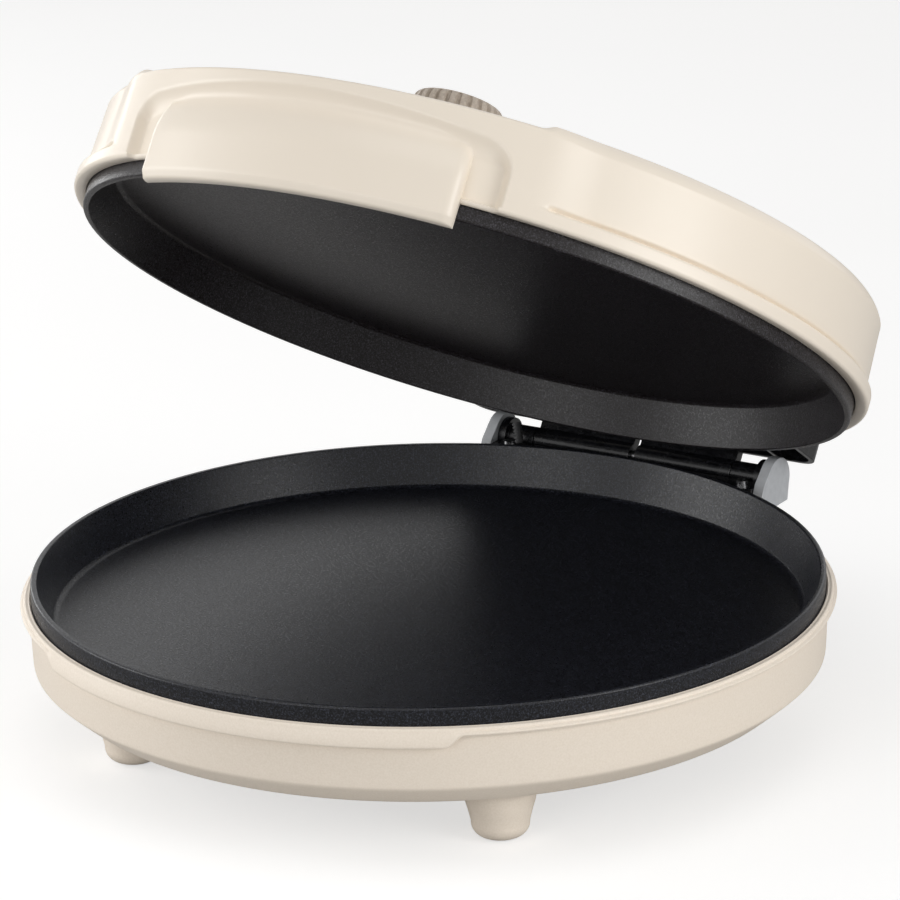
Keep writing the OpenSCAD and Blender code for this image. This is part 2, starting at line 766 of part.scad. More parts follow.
module upper_heater() color([0.45, 0.45, 0.46]) on_lid() mirror([0, 0, 1]) heater();
module upper_heater_clips() color([0.75, 0.75, 0.76]) on_lid() mirror([0, 0, 1]) heater_clips();
module upper_clip_screws() color([0.80, 0.80, 0.80]) on_lid() mirror([0, 0, 1]) clip_screws();
module upper_reflector()
    color([0.80, 0.80, 0.82])
    on_lid() mirror([0, 0, 1])
    reflector() {
        translate([0, -knob_at, -boss_end - 5]) cylinder(r = 13, h = 20);
    }
module upper_plate_screws() color([0.80, 0.80, 0.80]) on_lid() mirror([0, 0, 1]) boss_screws(sheet_t);

// Thermostat: a stack on the upper plate, its bush and the spindle up to the knob
stat_z = plate_back + 3.1;
stat_h = 16;
module thermostat_body()
    color([0.86, 0.85, 0.80])
    on_lid()
    translate([0, -knob_at, stat_z])
    difference() {
        union() {
            cylinder(r = 8, h = stat_h);
            for (z = [4, 9]) translate([-14, -3, z]) cube([28, 6, 0.9]);
        }
        translate([0, 0, 5]) cylinder(r = 4.6, h = stat_h);
    }
module thermostat_bush()
    color([0.78, 0.62, 0.30])
    on_lid()
    translate([0, -knob_at, stat_z + 5.1])
    difference() {
        union() {
            cylinder(r = 4.5, h = 16);
            translate([0, 0, stat_h - 5]) cylinder(r = 7, h = 1.6);
        }
        translate([0, 0, 2]) cylinder(r = spindle_r + run_fit, h = 16);
    }

// Indicator lenses and the lamps below them
lens_z = tongue_z - 6 * (lens_at[1] - tongue_flat_r) / (tongue_mid_r - tongue_flat_r) - 1.7;
module lens(side)
    on_lid()
    translate([side * lens_at[0], -lens_at[1], lens_z - 4.6]) {
        cylinder(r = lens_r, h = 6.6);
        translate([0, 0, 6.6]) intersection() {
            translate([0, 0, -5.5]) sphere(r = 6.3, $fn = 48);
            cylinder(r = lens_r, h = 3);
        }
    }
module power_lens() color([0.75, 0.10, 0.08]) lens(-1);
module ready_lens() color([0.15, 0.55, 0.20]) lens(1);
module indicator_lamps()
    color([0.90, 0.75, 0.60])
    on_lid()
    for (side = [-1, 1])
        translate([side * lens_at[0], -lens_at[1], lens_z - 4.8 - 12]) {
            cylinder(r = 2.4, h = 9, $fn = 32);
            translate([0, 0, 9]) sphere(r = 2.4, $fn = 32);
        }

// Rear housing of the lid: a box open below with ribs, hugging the shell, and the barrels
housing_low = lid_lip_z;
housing_r = 10;
module housing_plan(inset)
    difference() {
        union() {
            translate([-housing_w + inset, plate_r - 50])
                square([2 * (housing_w - inset), 50 + hinge_back + housing_back - housing_r]);
            translate([-housing_w + housing_r, plate_r - 50])
                square([2 * (housing_w - housing_r), 50 + hinge_back + housing_back - inset]);
            for (side = [-1, 1])
                translate([side * (housing_w - housing_r), hinge_y + housing_back - housing_r])
                circle(r = housing_r - inset, $fn = 60);
        }
        circle(r = lid_flange_r + 0.15 + inset, $fn = 180);
    }
web_t = 5;
module lid_hinge_housing()
    color([0.07, 0.07, 0.075])
    on_lid()
    difference() {
        union() {
            difference() {
                translate([0, 0, housing_low]) linear_extrude(height = housing_top - housing_low) housing_plan(0);
                difference() {
                    translate([0, 0, housing_low - past])
                        linear_extrude(height = housing_top - housing_low - wall + past) housing_plan(wall);
                    // Ribs across the hollow, square and slanted
                    for (x = [-64, -32, 0, 32, 64])
                        translate([x - 1, plate_r - 50, 0]) cube([2, 80, housing_top]);
                    for (side = [-1, 1])
                        translate([side * 70, plate_r - 22, 0]) rotate([0, 0, side * 38])
                        translate([-1, -5, 0]) cube([2, 60, housing_top]);
                }
            }
            for (side = [-1, 1]) {
                translate([side > 0 ? barrel_gap / 2 : -barrel_gap / 2 - barrel_len, hinge_y, hinge_z - lid_rim_z])
                    rotate([0, 90, 0]) cylinder(r = barrel_r, h = barrel_len);
                translate([side > 0 ? barrel_gap / 2 : -barrel_gap / 2 - barrel_len,
                        hinge_y - web_t / 2, hinge_z - lid_rim_z])
                    cube([barrel_len, web_t, housing_low + lid_rim_z - hinge_z + 6]);
            }
        }
        translate([-80, hinge_y, hinge_z - lid_rim_z]) rotate([0, 90, 0])
            cylinder(r = pin_r + run_fit, h = 160);
    }

module housing_screws()
    color([0.75, 0.75, 0.76])
    on_lid()
    for (x = [-48, 48])
        translate([x, hinge_y + housing_back + 0.1, 20])
        rotate([-90, 0, 0]) cylinder(r = 3.4, h = 1.6);

// Knob: a fluted skirt with a rounded top, and its spindle
knob_low = tongue_z + 0.5;
flute_r = 1.9;
module knob()
    color([0.72, 0.66, 0.60])
    on_lid()
    translate([0, -knob_at, knob_low])
    difference() {
        rotate_extrude($fn = 120)
            polygon(concat(
                [[0, 0], [knob_r - 0.6, 0], [knob_r, 0.8], [knob_r - 0.4, 3]],
                arc([knob_top_r - 3.2, knob_h - 4], 4, 12, 90, 8),
                [[0, knob_h]]
            ));
        for (i = [0 : flutes - 1])
            rotate([0, 0, i * 360 / flutes])
            translate([knob_r + 1.1, 0, -past]) cylinder(r = flute_r, h = knob_h + 2 * past, $fn = 24);
        translate([0, 0, -past]) cylinder(r = spindle_r + 0.05, h = knob_h - 4 + past);
    }

module thermostat_spindle()
    color([0.76, 0.76, 0.78])
    on_lid()
    translate([0, -knob_at, stat_z + 7.4])
    cylinder(r = spindle_r, h = knob_low + knob_h - 4.2 - stat_z - 7.4);

base_shell();
lower_plate();
lower_heater();
lower_heater_clips();
lower_clip_screws();
lower_reflector();
lower_plate_screws();
base_hinge_bracket();
bracket_screws();
hinge_pin();
hinge_cover_left();
hinge_cover_right();
lead_sleeve();
cord_gland();
terminal_block();
thermal_fuse();
fuse_clamp();
lid_shell();
upper_plate();
upper_heater();
upper_heater_clips();
upper_clip_screws();
upper_reflector();
upper_plate_screws();
lid_hinge_housing();
housing_screws();
thermostat_body();
thermostat_bush();
power_lens();
ready_lens();
indicator_lamps();
knob();
thermostat_spindle();
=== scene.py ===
"""Looks of the electric pizza maker: camera, studio, materials and the moulded pieces in full detail."""

import json
import math

import bmesh
import bpy
import numpy as np
from mathutils import Matrix, Vector


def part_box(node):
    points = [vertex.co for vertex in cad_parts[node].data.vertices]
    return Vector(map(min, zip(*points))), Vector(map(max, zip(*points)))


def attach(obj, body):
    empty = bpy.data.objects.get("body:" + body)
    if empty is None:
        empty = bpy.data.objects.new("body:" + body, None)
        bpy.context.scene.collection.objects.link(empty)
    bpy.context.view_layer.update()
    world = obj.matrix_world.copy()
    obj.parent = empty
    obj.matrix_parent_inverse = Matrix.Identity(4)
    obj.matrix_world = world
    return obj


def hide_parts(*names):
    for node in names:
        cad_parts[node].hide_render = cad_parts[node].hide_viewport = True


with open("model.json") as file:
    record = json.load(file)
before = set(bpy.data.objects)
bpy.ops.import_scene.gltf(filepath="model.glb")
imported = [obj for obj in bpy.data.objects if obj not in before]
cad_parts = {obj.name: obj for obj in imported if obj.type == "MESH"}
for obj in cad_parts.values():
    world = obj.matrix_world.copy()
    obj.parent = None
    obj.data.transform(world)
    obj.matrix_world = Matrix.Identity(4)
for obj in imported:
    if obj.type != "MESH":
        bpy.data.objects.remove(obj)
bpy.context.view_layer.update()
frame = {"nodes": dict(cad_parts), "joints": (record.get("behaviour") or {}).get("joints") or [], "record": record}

# All sizes are millimetres until a mesh is made
MM = 0.001
joints = {j["name"]: j for j in frame["joints"]}


def size_of(node):
    """Lowest and highest corner of a node in millimetres."""
    low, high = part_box(node)
    return low / MM, high / MM


# Places that the frame gives
plate_low, plate_high = size_of("lower_plate")
PLATE_R = (plate_high.x - plate_low.x) / 2
BASE_Y = plate_low.y + PLATE_R
RIM_Z = plate_high.z
HINGE = Vector(joints["lid_hinge"]["pos_m"]) / MM
OPEN = -math.radians(joints["lid_hinge"]["range_deg"][0])
HINGE_OUT = HINGE.y - BASE_Y
CLOSE_GAP = 0.6
LID_RISE = RIM_Z + CLOSE_GAP - HINGE.z

PLACES = {
    "base": Matrix.Translation((0, BASE_Y, 0)),
    "lid": Matrix.Translation(HINGE)
    @ Matrix.Rotation(-OPEN, 4, "X")
    @ Matrix.Translation((0, -HINGE_OUT, LID_RISE)),
}


# Helpers for shapes


def smooth(t):
    """Eases from 0 to 1 as t does."""
    t = np.clip(t, 0.0, 1.0)
    return t * t * (3 - 2 * t)


def soft_ramp(u, edge):
    """0 below -edge, u above edge, and a parabola in between."""
    return np.where(u < -edge, 0.0, np.where(u < edge, (u + edge) ** 2 / (4 * edge), u))


def soft_max(a, b, blend):
    """The larger of a and b, rounded where they are within blend of each other."""
    share = np.clip(0.5 + 0.5 * (b - a) / blend, 0.0, 1.0)
    return a * (1 - share) + b * share + blend * share * (1 - share)


def arc(cx, cy, radius, start, end, steps):
    """Points of an arc, with angles in degrees."""
    turns = np.radians(np.linspace(start, end, steps + 1))
    return [(cx + radius * math.cos(t), cy + radius * math.sin(t)) for t in turns]


def grid_faces(rows, cols):
    """Quads of a grid whose columns run all the way round."""
    faces = []
    for i in range(rows - 1):
        for j in range(cols):
            k = (j + 1) % cols
            n = i + 1
            faces.append((i * cols + j, i * cols + k, n * cols + k, n * cols + j))
    return faces


def both_sides(side):
    """Angles from 0 to 180 degrees, with their mirror images before them."""
    return np.concatenate([-side[:0:-1], side])


def grid_row(turn, r, z):
    """One row of a grid: a point at radius r and height z for every angle in turn."""
    r = np.broadcast_to(np.asarray(r, float), turn.shape)
    z = np.broadcast_to(np.asarray(z, float), turn.shape)
    return np.stack([r * np.sin(turn), -r * np.cos(turn), z], axis=-1)


def round_solid(points):
    """Vertices and faces of a grid, rows x columns x 3, whose two end rows close on a pole."""
    rows, cols = points.shape[:2]
    vertices = [tuple(p) for p in points.reshape(-1, 3)]
    faces = grid_faces(rows, cols)
    for row, first in ((0, True), (rows - 1, False)):
        pole = len(vertices)
        vertices.append(tuple(points[row].mean(axis=0)))
        for j in range(cols):
            k = (j + 1) % cols
            pair = (row * cols + k, row * cols + j) if first else (row * cols + j, row * cols + k)
            faces.append((pole, *pair))
    return vertices, faces


def lathe(profile, steps, centre):
    """A turned solid from (radius, height) points, closed on its axis."""
    turns = np.linspace(0, 2 * math.pi, steps, endpoint=False)
    r, z = np.array(profile, float).T
    points = np.stack(
        [
            centre[0] + r[:, None] * np.sin(turns),
            centre[1] - r[:, None] * np.cos(turns),
            np.repeat(z[:, None], steps, axis=1),
        ],
        axis=-1,
    )
    return round_solid(points)


def add_piece(name, shape, place, body, material, replaces=(), sharp=50):
    """Makes a piece from vertices and faces in the base's or the lid's own frame."""
    vertices, faces = shape
    mesh = bpy.data.meshes.new(name)
    mesh.from_pydata(vertices, [], faces)
    work = bmesh.new()
    work.from_mesh(mesh)
    bmesh.ops.recalc_face_normals(work, faces=work.faces)
    work.to_mesh(mesh)
    work.free()
    mesh.transform(Matrix.Scale(MM, 4) @ PLACES[place])
    mesh.polygons.foreach_set("use_smooth", [True] * len(mesh.polygons))
    mesh.set_sharp_from_angle(angle=math.radians(sharp))
    piece = bpy.data.objects.new(name, mesh)
    bpy.context.scene.collection.objects.link(piece)
    piece.data.materials.append(material)
    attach(piece, body)
    if replaces:
        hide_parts(*replaces)
    return piece


# Materials


class Surface:
    """A node material with one principled shader and textures in the object's own space."""

    def __init__(self, name, **sockets):
        self.material = bpy.data.materials.new(name)
        self.material.use_nodes = True
        self.nodes = self.material.node_tree.nodes
        self.links = self.material.node_tree.links
        self.shader = self.nodes["Principled BSDF"]
        self.coordinates = self.nodes.new("ShaderNodeTexCoord")
        for socket, value in sockets.items():
            self.shader.inputs[socket.replace("_", " ")].default_value = value

    def noise(self, scale, detail=2.0, roughness=0.5, stretch=None):
        texture = self.nodes.new("ShaderNodeTexNoise")
        texture.inputs["Scale"].default_value = scale
        texture.inputs["Detail"].default_value = detail
        texture.inputs["Roughness"].default_value = roughness
        source = self.coordinates.outputs["Object"]
        if stretch:
            mapping = self.nodes.new("ShaderNodeMapping")
            mapping.inputs["Scale"].default_value = stretch
            self.links.new(source, mapping.inputs["Vector"])
            source = mapping.outputs["Vector"]
        self.links.new(source, texture.inputs["Vector"])
        return texture.outputs["Fac"]

    def ramp(self, source, low, high, start=0.0, end=1.0):
        """Maps source from start..end to low..high."""
        node = self.nodes.new("ShaderNodeMapRange")
        node.inputs["From Min"].default_value = start
        node.inputs["From Max"].default_value = end
        node.inputs["To Min"].default_value = low
        node.inputs["To Max"].default_value = high
        self.links.new(source, node.inputs["Value"])
        return node.outputs["Result"]

    def colours(self, source, dark, light, start=0.3, end=0.7):
        node = self.nodes.new("ShaderNodeValToRGB")
        node.color_ramp.elements[0].position = start
        node.color_ramp.elements[1].position = end
        node.color_ramp.elements[0].color = (*dark, 1)
        node.color_ramp.elements[1].color = (*light, 1)
        self.links.new(source, node.inputs["Fac"])
        self.links.new(node.outputs["Color"], self.shader.inputs["Base Color"])

    def roughness(self, source, low, high, start=0.3, end=0.7):
        self.links.new(self.ramp(source, low, high, start, end), self.shader.inputs["Roughness"])

    def bump(self, source, strength, depth_mm):
        node = self.nodes.new("ShaderNodeBump")
        node.inputs["Strength"].default_value = strength
        node.inputs["Distance"].default_value = depth_mm * MM
        self.links.new(source, node.inputs["Height"])
        previous = self.shader.inputs["Normal"]
        if previous.is_linked:
            self.links.new(previous.links[0].from_socket, node.inputs["Normal"])
        self.links.new(node.outputs["Normal"], previous)


def linear(red, green, blue):
    """A colour written as it shows on screen, 0 to 255, in linear light."""
    shown = np.array([red, green, blue]) / 255
    return tuple(np.where(shown <= 0.04045, shown / 12.92, ((shown + 0.055) / 1.055) ** 2.4))


def cream_gloss():
    s = Surface("cream_gloss", Specular_IOR_Level=0.45, Coat_Weight=0.1, Coat_Roughness=0.2)
    s.colours(s.noise(9, 3), linear(240, 229, 214), linear(243, 233, 218), 0.2, 0.8)
    s.roughness(s.noise(30, 4), 0.33, 0.37, 0.2, 0.8)
    s.bump(s.noise(700, 2), 0.08, 0.02)
    return s.material


def cream_satin():
    s = Surface("cream_satin", Specular_IOR_Level=0.4)
    s.colours(s.noise(1300, 3), linear(238, 226, 210), linear(247, 236, 222), 0.25, 0.75)
    s.roughness(s.noise(60, 4), 0.42, 0.50, 0.2, 0.8)
    s.bump(s.noise(1500, 3), 0.25, 0.05)
    return s.material


def nonstick(name, dark, light):
    s = Surface(name, Specular_IOR_Level=0.32)
    s.colours(s.noise(1500, 5, 0.8), dark, light, 0.5, 0.74)
    s.roughness(s.noise(1100, 3), 0.24, 0.42)
    s.bump(s.noise(1300, 4, 0.7), 0.7, 0.1)
    return s.material


def black_plastic():
    s = Surface("black_plastic", Specular_IOR_Level=0.5)
    s.colours(s.noise(900, 4, 0.7), linear(10, 10, 12), linear(44, 45, 50), 0.45, 0.8)
    s.roughness(s.noise(200, 3), 0.18, 0.30)
    s.bump(s.noise(900, 3), 0.35, 0.06)
    return s.material


def grey_plastic():
    s = Surface("grey_plastic", Specular_IOR_Level=0.5)
    s.colours(s.noise(300, 3), linear(180, 183, 187), linear(192, 195, 199))
    s.roughness(s.noise(150, 3), 0.38, 0.48)
    s.bump(s.noise(900, 2), 0.2, 0.04)
    return s.material


def taupe_plastic():
    s = Surface("taupe_plastic", Specular_IOR_Level=0.4)
    s.colours(s.noise(700, 3), linear(168, 156, 144), linear(196, 185, 172))
    s.roughness(s.noise(200, 3), 0.42, 0.52)
    s.bump(s.noise(1000, 3), 0.3, 0.05)
    return s.material


def steel(name, dark, light, low, high):
    s = Surface(name, Metallic=1.0)
    s.colours(s.noise(120, 3, stretch=(1, 14, 1)), dark, light)
    s.roughness(s.noise(160, 4, stretch=(1, 12, 1)), low, high)
    s.bump(s.noise(500, 2, stretch=(1, 10, 1)), 0.15, 0.03)
    return s.material


def plain_finish(name, dark, light, scale=300, low=0.45, high=0.6, **sockets):
    s = Surface(name, **sockets)
    s.colours(s.noise(scale, 3), dark, light)
    s.roughness(s.noise(scale, 3), low, high)
    s.bump(s.noise(3 * scale, 2), 0.2, 0.04)
    return s.material


MATERIALS = {
    "cream_plastic": cream_gloss(),
    "cream_satin": cream_satin(),
    "nonstick": nonstick("nonstick", linear(9, 9, 12), linear(84, 88, 102)),
    "nonstick_brown": nonstick("nonstick_brown", linear(17, 12, 11), linear(96, 94, 102)),
    "black_plastic": black_plastic(),
    "grey_plastic": grey_plastic(),
    "taupe_plastic": taupe_plastic(),
    "bright_steel": steel("bright_steel", linear(178, 178, 180), linear(205, 205, 207), 0.22, 0.36),
    "element_steel": steel("element_steel", linear(82, 80, 80), linear(116, 113, 110), 0.38, 0.55),
    "reflector_sheet": steel("reflector_sheet", linear(196, 197, 200), linear(220, 220, 223), 0.12, 0.24),
    "brass": steel("brass", linear(176, 140, 70), linear(206, 170, 96), 0.2, 0.34),
    "black_rubber": plain_finish("black_rubber", linear(22, 22, 23), linear(40, 40, 42), 500, 0.5, 0.7),
    "terminal_plastic": plain_finish("terminal_plastic", linear(220, 218, 206), linear(232, 230, 220)),
    "ceramic": plain_finish("ceramic", linear(214, 211, 200), linear(228, 226, 216), 400),
    "red_lens": plain_finish(
        "red_lens", linear(150, 18, 14), linear(182, 30, 22), 200, 0.08, 0.14, Transmission_Weight=0.5
    ),
    "green_lens": plain_finish(
        "green_lens", linear(22, 110, 40), linear(40, 142, 58), 200, 0.08, 0.14, Transmission_Weight=0.5
    ),
    "lamp_glass": plain_finish(
        "lamp_glass", linear(232, 206, 170), linear(244, 224, 196), 200, 0.05, 0.1, Transmission_Weight=0.8
    ),
}

# Nodes that don't take the material named after their slot
SPECIAL = {"upper_plate": "nonstick_brown"}


def dress(node, material, split=32):
    """Gives a CAD node its material and clean shading: welded, split at its sharp edges."""
    piece = frame["nodes"][node]
    mesh = piece.data
    if "custom_normal" in mesh.attributes:
        mesh.attributes.remove(mesh.attributes["custom_normal"])
    mesh.polygons.foreach_set("use_smooth", [True] * len(mesh.polygons))
    weld = piece.modifiers.new("weld", "WELD")
    weld.merge_threshold = 0.002 * MM
    edges = piece.modifiers.new("edges", "EDGE_SPLIT")
    edges.split_angle = math.radians(split)
    weighted = piece.modifiers.new("normals", "WEIGHTED_NORMAL")
    weighted.mode = "FACE_AREA"
    mesh.materials.clear()
    mesh.materials.append(MATERIALS[material])


for part in frame["record"]["subparts"]:
    dress(part["node"], SPECIAL.get(part["node"], part["material_slot"]))


# Lid skin: a grid round the lid's axis, with z = 0 on its rim and the handle at angle 0

# Farther out than any point of the object
FAR = 1e3

FLANGE_R = PLATE_R + 5.8
LIP_R = PLATE_R + 0.3
LIP_Z = 6.3
FLANGE_TOP = LIP_Z + 6
LEDGE_R = PLATE_R - 2.8
LEDGE_Z = 9.1
SHELF_Z = LEDGE_Z + 2.2
WALL_IN = 2.8
WALL_R = FLANGE_R - WALL_IN
WALL_LEAN = 1.2
WALL_TOP = 39.8
CREASE_Z = 41.0
CROWN_R = 157.2
CROWN_Z = 47.4
DOME_Z = 60.2
INNER_R = PLATE_R - 1.2
SKIN = 2.5
LIP_ROUND = 1.6

# Groove above the flange; its rows are closer together up to GROOVE_SPAN
STEP_H = 0.9
GROOVE_ANGLE = 36.4
GROOVE_UP = 1.2
GROOVE_H = 0.95
GROOVE_DEPTH = 1.9
GROOVE_SPAN = 3

# The crown is the part of an arc between these angles
CROWN_FROM, CROWN_TO = math.radians(38), math.radians(83)

BRIDGE_ANGLE = 34
BRIDGE_FADE = 9
BRIDGE_STEP = 2.5
BRIDGE_CREASE = 42.5
BRIDGE_IN = 4.2
TONGUE_Z = 60.4
TONGUE_FLAT_R = 66
TONGUE_LEN = 98
TONGUE_DROP = 16.3
TONGUE_BEND = 1.65
TONGUE_EDGE = 6.5
KNOB_Y = -52
TONGUE_END_R = 36

ARCH_W = 86
ARCH_TOP = 38.7
ARCH_FALL = 5
ARCH_CORNER = 12
ARCH_DEPTH = 4.6
ARCH_ROUND = 0.7
ARCH_SLOPE_W = 2.4
ARCH_SLOPE_MORE = 7.0
SILL_Z = 7.9
SILL_H = 0.9
SILL_DEPTH = 1.8

HANDLE_W = 72
HANDLE_CORNER = 5
HANDLE_R = FLANGE_R + 1.8
HANDLE_LOW = -4.0
HANDLE_UPRIGHT_Z = 14
HANDLE_DRAWN = 7.0
HANDLE_DRAWN_H = 18
HANDLE_DRAWN_BEND = 2.2

# The handle's top runs softly into the recess, except near its two ends
BLEND_LEAST = 0.05
BLEND_MORE = 3.5
BLEND_X = 57
BLEND_FADE = 11

# Chamfer under the handle: how far in and up it is at each share of its way
CHAMFER_AT = [0, 0.25, 0.75, 1]
CHAMFER_IN = [2.3, 1.5, 0.25, 0.0]
CHAMFER_UP = [0.0, 0.45, 2.8, 3.4]


def lid_columns():
    """Angles of the grid's columns in degrees: close together where the recess and handle turn."""
    bend = np.sin(np.radians(np.arange(0, 91, 9)))
    corner = np.degrees(np.arcsin((HANDLE_W - HANDLE_CORNER + HANDLE_CORNER * bend) / FLANGE_R))
    handle_edge = corner[-1]
    handle = [np.arange(0, corner[0] - 0.3, 0.6), corner, [handle_edge + 0.03]]
    recess = [np.arange(handle_edge + 0.4, 29, 0.45), np.arange(29, 31.6, 0.13)]
    bridge_end = [np.arange(31.8, 47, 0.4)]
    rest = [np.arange(47.5, 180, 1.5)]
    return both_sides(np.concatenate(handle + recess + bridge_end + rest)), handle_edge


def arch_inset(x, z):
    """How deep the finger recess lies below the flush surface at a point of the front view."""
    half = ARCH_W - ARCH_CORNER
    top = ARCH_TOP - ARCH_FALL * (np.minimum(np.abs(x), half) / half) ** 2
    out_x = np.abs(x) - half
    out_z = z - (ARCH_TOP - ARCH_FALL - ARCH_CORNER)
    corner = (out_x > 0) & (out_z > 0)
    out = np.hypot(out_x, out_z)
    distance = np.where(corner, out - ARCH_CORNER, np.maximum(out_x - ARCH_CORNER, z - top))
    upward = np.where(corner, out_z / np.maximum(out, 1e-6), (out_x <= 0) * 1.0)
    width = ARCH_SLOPE_W + ARCH_SLOPE_MORE * smooth(upward)
    inside = np.clip(soft_ramp(-distance, ARCH_ROUND) / width, 0.0, 1.0)
    depth = ARCH_DEPTH * (1 - (1 - inside) ** 2)
    return depth - np.minimum(depth, SILL_DEPTH) * (1 - smooth((z - SILL_Z) / SILL_H))


def handle_face(x, z):
    """Radius of the handle's face: upright below, drawn in above, with round upright corners."""
    corner = np.clip(np.abs(x) - (HANDLE_W - HANDLE_CORNER), 0, HANDLE_CORNER)
    above = np.clip(z - HANDLE_UPRIGHT_Z, 0, None)
    drawn = HANDLE_DRAWN * (above / HANDLE_DRAWN_H) ** HANDLE_DRAWN_BEND
    return HANDLE_R - drawn - (HANDLE_CORNER - np.sqrt(HANDLE_CORNER**2 - corner**2))


def bridge_share(angle):
    """1 across the bridge, easing to 0 past its two ends."""
    return 1 - smooth((np.abs(angle) - BRIDGE_ANGLE) / BRIDGE_FADE)


def lid_wall(angle, z, in_handle):
    """Outer radius of the lid between its flange's lip and its crown."""
    x = FLANGE_R * np.sin(np.radians(angle))
    flush = bridge_share(angle)
    lean = WALL_LEAN * np.clip((z - FLANGE_TOP) / (WALL_TOP - FLANGE_TOP), 0, 1)
    step = smooth((z - FLANGE_TOP) / STEP_H)
    from_groove = (z - FLANGE_TOP - GROOVE_UP) / GROOVE_H
    groove = smooth(np.abs(angle) - GROOVE_ANGLE) * np.exp(-(from_groove**2))
    radius = FLANGE_R - (WALL_IN + lean) * (1 - flush) * step - GROOVE_DEPTH * groove
    radius = radius - arch_inset(x, z)
    blend = BLEND_LEAST + BLEND_MORE * (1 - smooth((np.abs(x) - BLEND_X) / BLEND_FADE))
    face = np.where(in_handle, handle_face(x, z), -FAR)
    return np.where(in_handle, soft_max(radius, face, blend), radius)


def dome(r):
    """Height of the ball-shaped top at a radius."""
    ball = (CROWN_R**2 + (DOME_Z - CROWN_Z) ** 2) / (2 * (DOME_Z - CROWN_Z))
    return CROWN_Z + np.sqrt(ball**2 - r**2) - (ball - (DOME_Z - CROWN_Z))


def lid_top(x, y):
    """Height of the lid's top: the dome, with the tongue that runs from the bridge to the knob."""
    r = np.hypot(x, y)
    angle = np.degrees(np.arctan2(np.abs(x), -y))
    beside = r * np.sin(np.radians(np.clip(angle - BRIDGE_ANGLE, -90, 90)))
    sector = np.where(y < KNOB_Y, beside, FAR)
    end = np.hypot(x, y - KNOB_Y) - TONGUE_END_R
    mask = 1 - smooth(np.minimum(sector, end) / TONGUE_EDGE + 0.5)
    fallen = (np.clip(r - TONGUE_FLAT_R, 0, None) / TONGUE_LEN) ** TONGUE_BEND
    tongue = TONGUE_Z - TONGUE_DROP * fallen
    return dome(r) + mask * (tongue - dome(r))


def lid_skin():
    angle, handle_edge = lid_columns()
    in_handle = np.abs(angle) <= handle_edge + 1e-6
    turn = np.radians(angle)
    rows = []

    def row(r, z):
        rows.append(grid_row(turn, r, z))

    # Inside, from the middle down to the lip
    for r in np.linspace(2, CROWN_R - 4, 10):
        row(r, dome(r) - SKIN)
    row(INNER_R - 1.5, WALL_TOP)
    row(INNER_R, WALL_TOP - 4)
    row(INNER_R, SHELF_Z)
    row(LEDGE_R, SHELF_Z)
    row(LEDGE_R, LEDGE_Z)
    row(LIP_R, LEDGE_Z)

    # Lip or handle underside, then the face above it
    low = np.where(in_handle, HANDLE_LOW, LIP_Z)
    row(LIP_R + np.where(in_handle, 0.3, 0.0), low + 0.4)
    row(LIP_R + np.where(in_handle, 0.7, 0.3), low)
    for t in np.linspace(0, 1, 9):
        bow = math.radians(90 * t)
        lip_in, lip_up = LIP_ROUND * (1 - math.sin(bow)), LIP_ROUND * (1 - math.cos(bow))
        chamfer_in = np.interp(t, CHAMFER_AT, CHAMFER_IN)
        chamfer_up = np.interp(t, CHAMFER_AT, CHAMFER_UP)
        z = low + np.where(in_handle, chamfer_up, lip_up)
        r = lid_wall(angle, z, in_handle) - np.where(in_handle, chamfer_in, lip_in)
        row(r, z)
    start = low + np.where(in_handle, CHAMFER_UP[-1], LIP_ROUND)
    for t in np.linspace(0, 1, 12)[1:]:
        z = start + (FLANGE_TOP - 0.5 - start) * t
        row(lid_wall(angle, z, in_handle), z)
    for z in np.arange(FLANGE_TOP - 0.3, FLANGE_TOP + GROOVE_SPAN, 0.22):
        row(lid_wall(angle, z, in_handle), z)
    flush = bridge_share(angle)
    raised = 1 - smooth((np.abs(angle) - BRIDGE_ANGLE + 1) / BRIDGE_STEP)
    crease = CREASE_Z + (BRIDGE_CREASE - CREASE_Z) * (0.5 * flush + 0.5 * raised)
    for t in np.linspace(0, 1, 40)[1:]:
        z = FLANGE_TOP + GROOVE_SPAN + (crease - FLANGE_TOP - GROOVE_SPAN) * t
        row(lid_wall(angle, z, in_handle), z)

    # Crown, from the crease to the top
    edge_r = lid_wall(angle, crease, in_handle)
    crown_in = WALL_R - WALL_LEAN - CROWN_R
    crown_r = edge_r - (crown_in + (BRIDGE_IN - crown_in) * flush)
    crown_top = lid_top(crown_r * np.sin(turn), -crown_r * np.cos(turn))
    cos_from, cos_to = math.cos(CROWN_FROM), math.cos(CROWN_TO)
    sin_from, sin_to = math.sin(CROWN_FROM), math.sin(CROWN_TO)
    for t in np.linspace(0, 1, 12)[1:]:
        a = CROWN_FROM + (CROWN_TO - CROWN_FROM) * t
        across = (math.cos(a) - cos_to) / (cos_from - cos_to)
        up = (math.sin(a) - sin_from) / (sin_to - sin_from)
        row(crown_r + (edge_r - crown_r) * across, crease + (crown_top - crease) * up)
    for t in np.linspace(0, 1, 60)[1:-1]:
        r = crown_r * (1 - t) + 1.5 * t
        row(r, lid_top(r * np.sin(turn), -r * np.cos(turn)))
    return round_solid(np.stack(rows))


add_piece(
    "lid_skin", lid_skin(), "lid", "lid", MATERIALS["cream_plastic"], ["lid_shell"], sharp=55
)


# Base skin: a grid round the base's axis, with z = 0 on the table

BASE_TOP = size_of("base_shell")[1].z
FLOOR_Z = 22.8
BASE_WALL_R = PLATE_R + 0.9
BAND_R = PLATE_R + 4.4
BAND_H = 3.2
DEEP_H = 8.0
BAND_ANGLE = 33
S_WIDTH = 2.7
SWEEP_R = 29.6
SHOULDER_R = PLATE_R - 3
SWEEP_END, BEVEL_START = -36, -64
BAND_EDGE = 0.9
BAND_LEAN = 1.3

